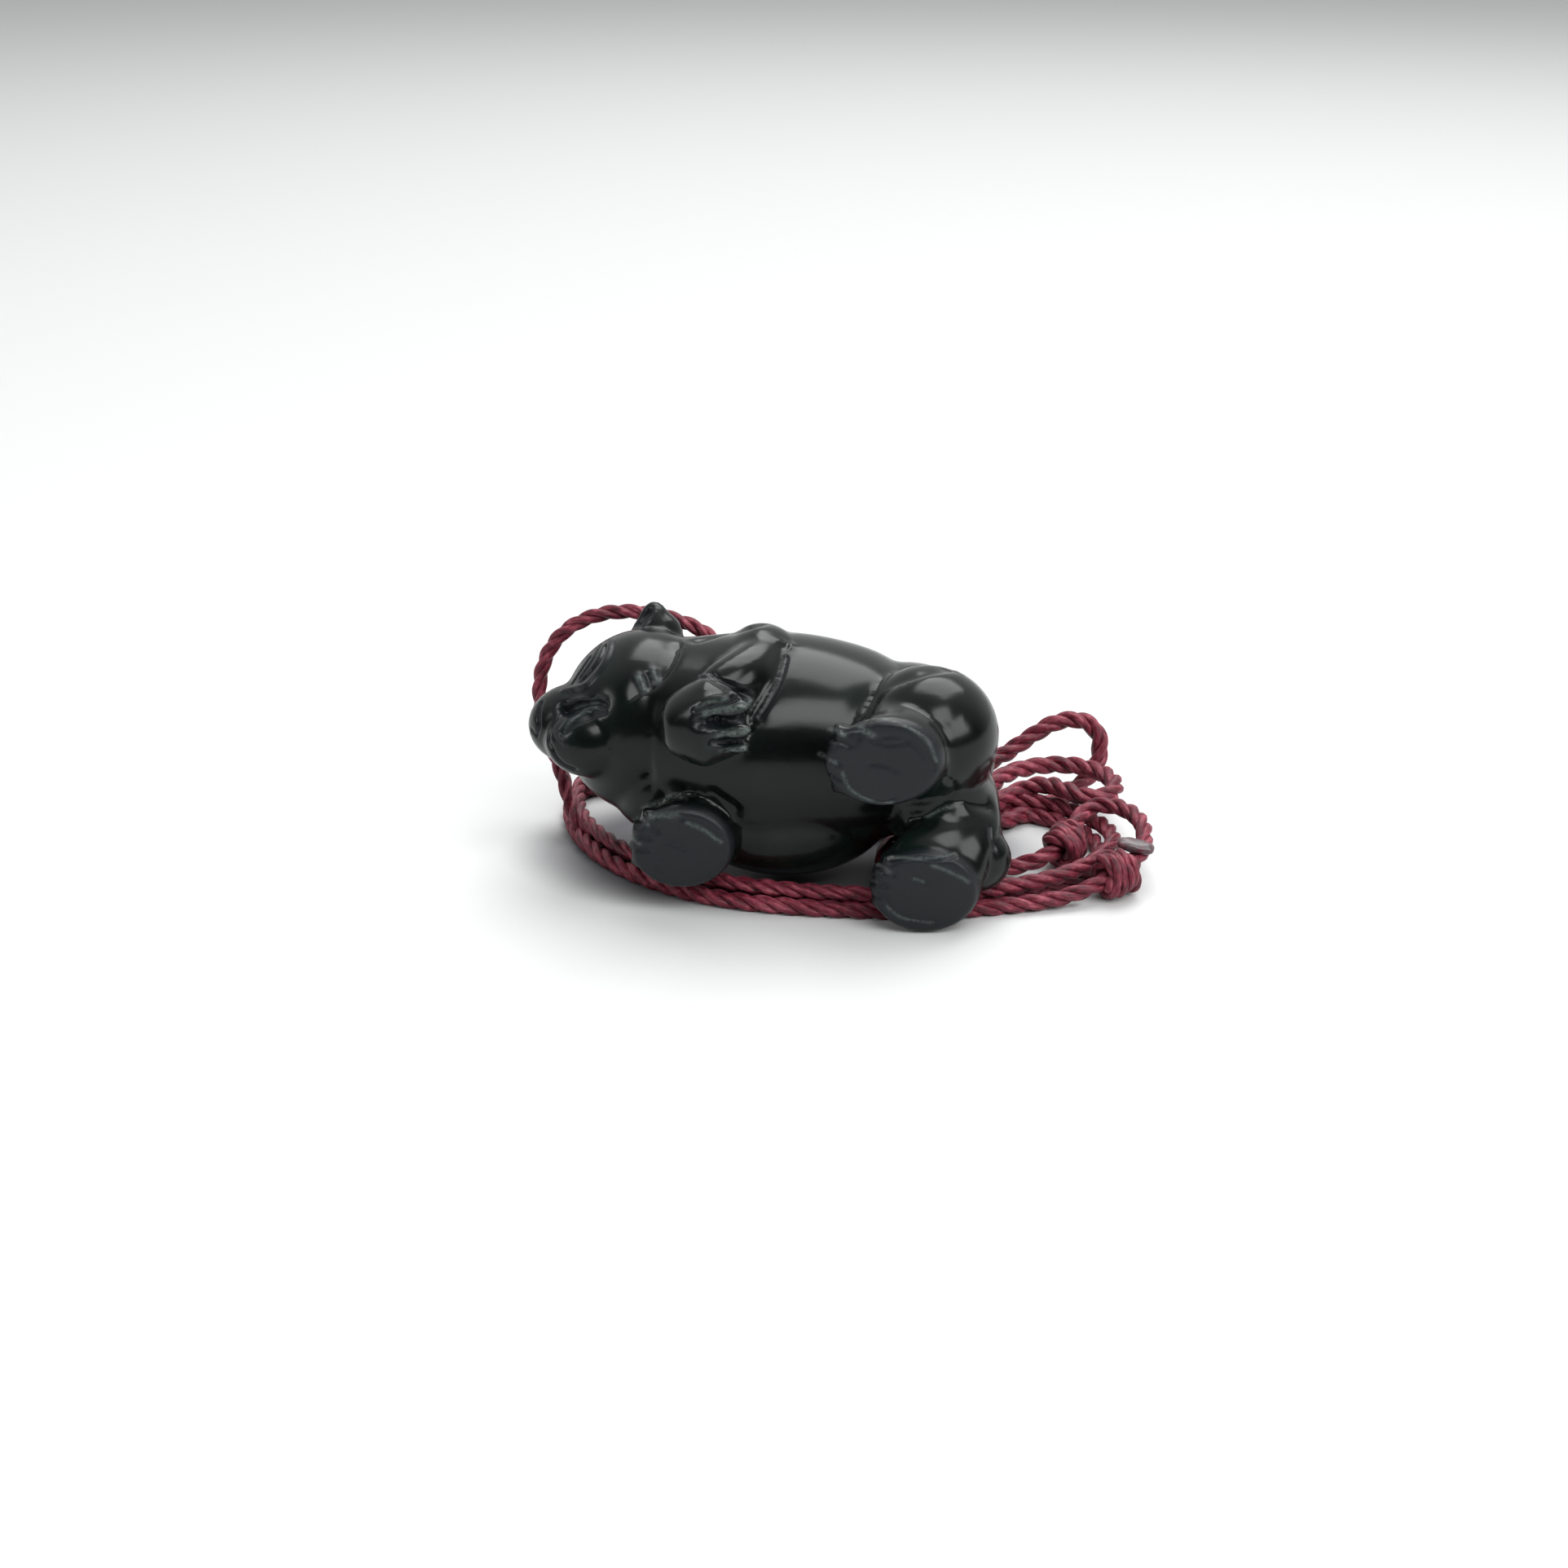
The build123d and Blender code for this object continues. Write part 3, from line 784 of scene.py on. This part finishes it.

# Painted highlights, laid on as pale colour: width in millimetres, strength, and pixels as above
paintedHighlightStrokes = [
    (0.42, 0.9, [(866, 875), (885, 871), (902, 868), (919, 863)]),
    (0.38, 1.0, [(882, 903), (895, 900), (908, 898), (921, 896)]),
    (0.30, 1.0, [(886, 922), (900, 921), (914, 919)]),
    (0.18, 0.8, [(854, 866), (870, 862), (892, 857)]),
    (0.36, 0.9, [(784, 831), (787, 838), (790, 845)]),
    (0.30, 0.7, [(802, 824), (804, 830), (807, 837)]),
    (0.16, 0.8, [(708, 868), (720, 864), (735, 862)]),
    (0.14, 0.6, [(694, 894), (704, 882), (716, 874), (732, 868)]),
    (0.28, 0.9, [(1057, 893), (1064, 898), (1071, 903)]),
    (0.22, 0.8, [(1018, 895), (1028, 897), (1037, 903)]),
    (0.20, 0.9, [(1006, 925), (1015, 930), (1026, 935)]),
    (0.16, 0.8, [(1060, 884), (1080, 882), (1100, 886), (1124, 898), (1141, 914), (1149, 934)]),
    (0.14, 0.9, [(1034, 948), (1042, 966), (1057, 977), (1075, 983), (1095, 985)]),
    (0.16, 0.8, [(1094, 1052), (1125, 1053), (1154, 1052), (1168, 1048)]),
    (0.18, 0.7, [(1144, 1062), (1161, 1068), (1178, 1076), (1188, 1082)]),
    (0.20, 0.8, [(1074, 1058), (1084, 1064), (1094, 1070)]),
    (0.18, 0.7, [(1064, 1078), (1076, 1082)]),
    (0.13, 0.9, [(1089, 1112), (1098, 1120), (1111, 1127), (1144, 1132)]),
    (0.12, 0.8, [(1122, 1078), (1134, 1082)]),
    (0.26, 1.0, [(790, 992), (802, 987), (815, 983), (824, 977), (836, 979)]),
    (0.36, 0.6, [(798, 1003), (812, 1000), (830, 1001)]),
    (0.17, 0.9, [(843, 1010), (863, 1018), (885, 1034)]),
    (0.22, 0.7, [(777, 1006), (786, 1003), (795, 1012)]),
    (0.18, 0.7, [(775, 1028), (785, 1036)]),
    (0.14, 0.8, [(1136, 1003), (1156, 993), (1173, 989)]),
]


# How the strokes are cut
carveSpec = {
    "between": 10,  # points on a stroke from one of its pixels to the next
    "deepest": 0.003,  # a hit further behind the stroke's middle is left out
    "faced": (0.5, 3),  # how the cut fades on skin that turns away: plus, times
    "reach": 3,  # how far a cut is felt, in widths
    "fade": 2,  # how sharply a step fades
    "satin": (0.8, 1.7),  # the mark it leaves unpolished: strength, breadth in widths
}

# The unpolished soles: how far past the last section, and past its plane
soleSpec = {
    "legs": ("rightForeleg", "leftHindLeg", "rightHindLeg"),
    "edge": 1.25,
    "fade": 0.2,
    "rise": 0.0012,
    "riseFade": 0.0006,
}


def atShare(shares):
    return Vector((shares[0] * bearSpec["length"], shares[1] * bearSpec["depth"],
                   shares[2] * bearSpec["width"]))


def addEgg(form, middle, radii, turn, axis, fineness, flare=0.0):
    tilt = Matrix.Rotation(radians(turn), 4, axis)
    size = Matrix.Diagonal((*atShare(radii), 1))
    egg = bmesh.ops.create_icosphere(form, subdivisions=fineness, radius=1)["verts"]
    for vertex in egg:
        swell = (1 + flare * vertex.co.x) / (1 + abs(flare))
        vertex.co.y *= swell
        vertex.co.z *= swell
    placed = Matrix.Translation(atShare(middle)) @ tilt @ size
    bmesh.ops.transform(form, matrix=placed, verts=egg)


def easedSections(sections, between=8):
    table = np.array(sections, dtype=float)
    ends = np.vstack([2 * table[0] - table[1], table, 2 * table[-1] - table[-2]])
    eased = []
    for first in range(len(table) - 1):
        a, b, c, d = ends[first:first + 4]
        for part in range(between):
            t = part / between
            eased.append(0.5 * (2 * b + (c - a) * t + (2 * a - 5 * b + 4 * c - d) * t ** 2
                                + (3 * b - a - 3 * c + d) * t ** 3))
    eased.append(table[-1])
    return eased


def addLoft(form, sections, alongBody):
    rings = []
    for along, back, high, firstRadius, highRadius in easedSections(sections):
        middle = Matrix.Translation(atShare((along, back, high)))
        tall = highRadius * bearSpec["width"]
        if alongBody:  # the ring stands across the bear's length
            facing = Matrix.Rotation(radians(90), 4, "Y")
            size = Matrix.Diagonal((tall, firstRadius * bearSpec["depth"], 1, 1))
        else:
            facing = Matrix.Rotation(radians(90), 4, "X")
            size = Matrix.Diagonal((firstRadius * bearSpec["length"], tall, 1, 1))
        made = bmesh.ops.create_circle(form, cap_ends=False, segments=bearSpec["ringSides"],
                                       radius=1, matrix=middle @ facing @ size)
        rings.append(made["verts"])
    for ring in (rings[0], rings[-1]):
        form.faces.new(ring)
    edges = [[edge for edge in {e for v in ring for e in v.link_edges}
              if all(v in ringSet for v in edge.verts)]
             for ring, ringSet in ((ring, set(ring)) for ring in rings)]
    for near, far in zip(edges, edges[1:]):
        bmesh.ops.bridge_loops(form, edges=near + far)


def joinedForms():
    form = bmesh.new()
    for middle, radii, turn in bearForms.values():
        addEgg(form, middle, radii, turn, "X", bearSpec["eggFineness"])
    for middle, radii, turn, flare in clawForms.values():
        addEgg(form, middle, radii, turn, "Y", bearSpec["clawFineness"], flare)
    for middle, radii, turn in toeForms.values():
        addEgg(form, middle, radii, turn, "Y", bearSpec["clawFineness"], bearSpec["toeFlare"])
    addLoft(form, trunkSections, True)
    addLoft(form, pawSections, True)
    for sections in legSections.values():
        addLoft(form, sections, False)
    bmesh.ops.recalc_face_normals(form, faces=form.faces)
    return meshOf(form, "bearForms")


def withModifier(mesh, kind, **settings):
    holder = newObject("holder", mesh)
    modifier = holder.modifiers.new("shape", kind)
    for name, value in settings.items():
        setattr(modifier, name, value)
    final = holder.evaluated_get(bpy.context.evaluated_depsgraph_get())
    changed = bpy.data.meshes.new_from_object(final)
    bpy.data.objects.remove(holder)
    bpy.data.meshes.remove(mesh)
    return changed


def placesAndNormals(form):
    form.normal_update()
    places = np.array([vertex.co for vertex in form.verts])
    normals = np.array([vertex.normal for vertex in form.verts])
    return places, normals


def facingCamera(places, normals):
    toCamera = np.array(cameraSpec["place"]) - places
    toCamera /= np.linalg.norm(toCamera, axis=1)[:, None]
    return (normals * toCamera).sum(axis=1)


def seenVerts(form):
    places, normals = placesAndNormals(form)
    across, down = picturePixels(places).T
    inside = np.zeros(len(places), dtype=bool)
    for left, top, right, bottom in carvedZones.values():
        inside |= (across > left) & (across < right) & (down > top) & (down < bottom)
    return inside & (facingCamera(places, normals) > bearSpec["turned"])


def soften(form, verts, rounds):
    for _ in range(rounds):
        bmesh.ops.smooth_vert(form, verts=verts, factor=0.5, use_axis_x=True, use_axis_y=True,
                              use_axis_z=True)


def strokeOnSkin(skin, route):
    eye = Vector(cameraSpec["place"])
    dots = np.array(easedSections(route, carveSpec["between"]))
    hits = [skin.ray_cast(eye, pictureRay(dot))[0] for dot in dots]
    landed = [k for k, hit in enumerate(hits) if hit is not None]
    return dots[landed], np.array([hits[k] for k in landed])


def pointsNear(places, line, reach):
    low, high = line.min(axis=0) - reach, line.max(axis=0) + reach
    return np.where(((places > low) & (places < high)).all(axis=1))[0]


def carve(form, strokes):
    form.faces.ensure_lookup_table()
    skin = BVHTree.FromBMesh(form)
    places, normals = placesAndNormals(form)
    pixels = picturePixels(places)
    faced = carveSpec["faced"][0] + carveSpec["faced"][1] * facingCamera(places, normals)
    satin, satinBreadth = carveSpec["satin"]
    shift = np.zeros(len(places))
    marked = np.zeros(len(places))
    for kind, sizes, route in strokes:
        width, depth = sizes[0] / 1000, sizes[1] / 1000
        reach = sizes[2] / 1000 if kind == "step" else carveSpec["reach"] * width
        dots, line = strokeOnSkin(skin, route)
        shown = line[:, 1] < np.median(line[:, 1]) + carveSpec["deepest"]
        dots, line = dots[shown], line[shown]
        near = pointsNear(places, line, 2 * reach)
        gaps = np.linalg.norm(places[near][:, None] - line[None], axis=2)
        closest = gaps.argmin(axis=1)
        gap = gaps.min(axis=1)
        if kind == "step":
            heading = np.gradient(dots, axis=0)[closest]
            offset = pixels[near] - dots[closest]
            side = heading[:, 0] * offset[:, 1] - heading[:, 1] * offset[:, 0]
            signed = np.where(side > 0, gap, -gap)
            shape = 0.5 + 0.5 * np.tanh(signed / width)
            shift[near] -= depth * shape * np.exp(-(gap / reach) ** 2 * carveSpec["fade"])
        else:
            way = 1 if kind == "ridge" else -1
            shift[near] += way * depth * np.exp(-(gap / width) ** 2)
            mark = satin * np.exp(-(gap / (satinBreadth * width)) ** 2)
            marked[near] = np.maximum(marked[near], mark)
    for vertex, amount, normal in zip(form.verts, shift * np.clip(faced, 0, 1), normals):
        if amount:
            vertex.co += Vector(normal * amount)
    return marked


# How strongly the painted highlight is laid on at each point of the skin
def paintedHighlightShare(form, strokes):
    skin = BVHTree.FromBMesh(form)
    places = placesAndNormals(form)[0]
    share = np.zeros(len(places))
    for width, strength, route in strokes:
        line = strokeOnSkin(skin, route)[1]
        near = pointsNear(places, line, carveSpec["reach"] * width / 1000)
        gap = np.linalg.norm(places[near][:, None] - line[None], axis=2).min(axis=1)
        mark = strength * np.exp(-(gap * 1000 / width) ** 2)
        share[near] = np.maximum(share[near], mark)
    return share


def soleShare(places):
    share = np.zeros(len(places))
    for name in soleSpec["legs"]:
        along, back, high, radiusAlong, radiusHigh = legSections[name][-1]
        away = np.hypot((places[:, 0] / bearSpec["length"] - along) / radiusAlong,
                        (places[:, 2] / bearSpec["width"] - high) / radiusHigh)
        past = back * bearSpec["depth"] + soleSpec["rise"] - places[:, 1]
        inside = (np.clip((soleSpec["edge"] - away) / soleSpec["fade"], 0, 1)
                  * np.clip(past / soleSpec["riseFade"], 0, 1))
        share = np.maximum(share, inside)
    return share


def drillHole(mesh, spec, top, bottom):
    middle = (Vector(top) + Vector(bottom)) / 2
    form = bmesh.new()
    bmesh.ops.create_cone(form, cap_ends=True, segments=spec["holeSides"],
                          radius1=spec["holeRadius"], radius2=spec["holeRadius"],
                          depth=spec["drillLength"] * (top[2] - bottom[2]),
                          matrix=Matrix.Translation(middle))
    drill = newObject("drill", meshOf(form, "drill"))
    drilled = withModifier(mesh, "BOOLEAN", operation="DIFFERENCE", solver="MANIFOLD", object=drill)
    bpy.data.objects.remove(drill)
    return drilled


def makeBear(spec):
    mesh = withModifier(joinedForms(), "REMESH", mode="VOXEL", voxel_size=spec["grain"])
    mesh = drillHole(mesh, spec, holeTop, holeBottom)
    form = bmesh.new()
    form.from_mesh(mesh)
    soften(form, form.verts, spec["carvedSoftening"])
    plain = [vertex for vertex, fine in zip(form.verts, seenVerts(form)) if not fine]
    soften(form, plain, spec["softening"] - spec["carvedSoftening"])
    carve(form, bodyStrokes)
    carved = set(np.where(seenVerts(form))[0].tolist())
    edges = {edge for face in form.faces if all(v.index in carved for v in face.verts)
             for edge in face.edges}
    bmesh.ops.subdivide_edges(form, edges=list(edges), cuts=1, use_grid_fill=True,
                              smooth=spec["finerBulge"])
    marked = carve(form, fineStrokes)
    soften(form, [vertex for vertex, fine in zip(form.verts, seenVerts(form)) if fine], 1)
    satin = np.maximum(marked, soleShare(placesAndNormals(form)[0]))
    # painted highlights along their strokes
    paintedHighlight = paintedHighlightShare(form, paintedHighlightStrokes)
    form.to_mesh(mesh)
    form.free()
    for name, share in (("satin", satin), ("paintedHighlight", paintedHighlight)):
        mesh.attributes.new(name, "FLOAT", "POINT").data.foreach_set("value", share)
    mesh.name = "stoneBear"
    mesh.materials.clear()
    mesh.materials.append(stone)
    mesh.polygons.foreach_set("material_index", [0] * len(mesh.polygons))
    smoothShade(mesh)
    bear = newObject("stoneBear", mesh)
    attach(bear, "root")
    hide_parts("bear")
    mesh.calc_loop_triangles()
    print("bear", len(mesh.loop_triangles), "triangles")


makeBear(bearSpec)

# Floor and light

floorSpec = {
    "halfSide": 3.0,
    "roughness": 0.7,
    "paper": (0.58, 0.59, 0.59),
    "shade": (0.10, 0.10, 0.11),  # painted shadow on the floor under and beside the bear and its cord, where they close the floor in
    "middle": (0.002, 0.006),
    "reach": (0.040, 0.0225),
    "fade": (0.25, 0.50),  # where the painted shadow fades in: from the rim, at 0, to the middle, at 1
}


def makeFloor(spec):
    form = bmesh.new()
    bmesh.ops.create_grid(form, x_segments=1, y_segments=1, size=spec["halfSide"])
    floor = newObject("floor", meshOf(form, "floor"))
    paper, shader = newMaterial("floorPaperPaintedShadow", spec["paper"], spec["roughness"])
    tree = paper.node_tree
    # The floor's colour darkens to a painted shadow in an oval under the bear and its cord
    place = addNode(tree, "ShaderNodeTexCoord")
    middle, reach = spec["middle"], spec["reach"]
    paintedShadowPlace = addNode(tree, "ShaderNodeMapping", Scale=(1 / reach[0], 1 / reach[1], 1),
                     Location=(-middle[0] / reach[0], -middle[1] / reach[1], 0))
    paintedShadowPool = addNode(tree, "ShaderNodeTexGradient", gradient_type="SPHERICAL")
    ramp = addRamp(tree, spec["fade"], (spec["paper"], spec["shade"]))
    ramp.color_ramp.interpolation = "EASE"
    joinNodes(tree, (place, "Object", paintedShadowPlace, "Vector"), (paintedShadowPlace, "Vector", paintedShadowPool, "Vector"),
              (paintedShadowPool, "Fac", ramp, "Fac"), (ramp, "Color", shader, "Base Color"))
    floor.data.materials.append(paper)


lampSpecs = {
    "key": {"place": (0.188, 0.404, 0.839), "size": (0.75, 0.75), "power": 9.0},
    "front": {"place": (0.149, -0.320, 0.485), "size": (0.40, 0.26), "power": 2.1},
    "side": {"place": (0.444, -0.289, 0.282), "size": (0.30, 0.26), "power": 1.5},
    "left": {"place": (-0.471, -0.220, 0.300), "size": (0.20, 0.20), "power": 0.7},
}
skySpec = {
    "dark": 0.03,  # near the horizon in front, which the stone mirrors
    "bright": 0.80,  # behind
    "stops": (0.10, 1.0),
    "backward": 1.5,  # weight of a turn to the back against one upward
}


def makeLamp(name, spec):
    data = bpy.data.lights.new(name + "Light", "AREA")
    data.shape = "RECTANGLE"
    data.size, data.size_y = spec["size"]
    data.energy = spec["power"]
    light = newObject(name + "Light", data)
    light.location = spec["place"]
    light.rotation_euler = (-light.location).to_track_quat("-Z", "Y").to_euler()


def makeSky(spec):
    world = bpy.data.worlds.new("studio")
    bpy.context.scene.world = world
    world.use_nodes = True
    tree = world.node_tree
    direction = addNode(tree, "ShaderNodeTexCoord")
    parts = addNode(tree, "ShaderNodeSeparateXYZ")
    rise = addMath(tree, "MULTIPLY_ADD", spec["backward"])
    ramp = addRamp(tree, spec["stops"], (spec["dark"], spec["bright"]))
    joinNodes(tree, (direction, "Generated", parts, "Vector"), (parts, "Y", rise, 0),
              (parts, "Z", rise, 2), (rise, 0, ramp, "Fac"),
              (ramp, "Color", tree.nodes["Background"], "Color"))


makeFloor(floorSpec)
for name, spec in lampSpecs.items():
    makeLamp(name, spec)
makeSky(skySpec)
print("floor and light")
bpy.context.scene.view_settings.view_transform = "Standard"
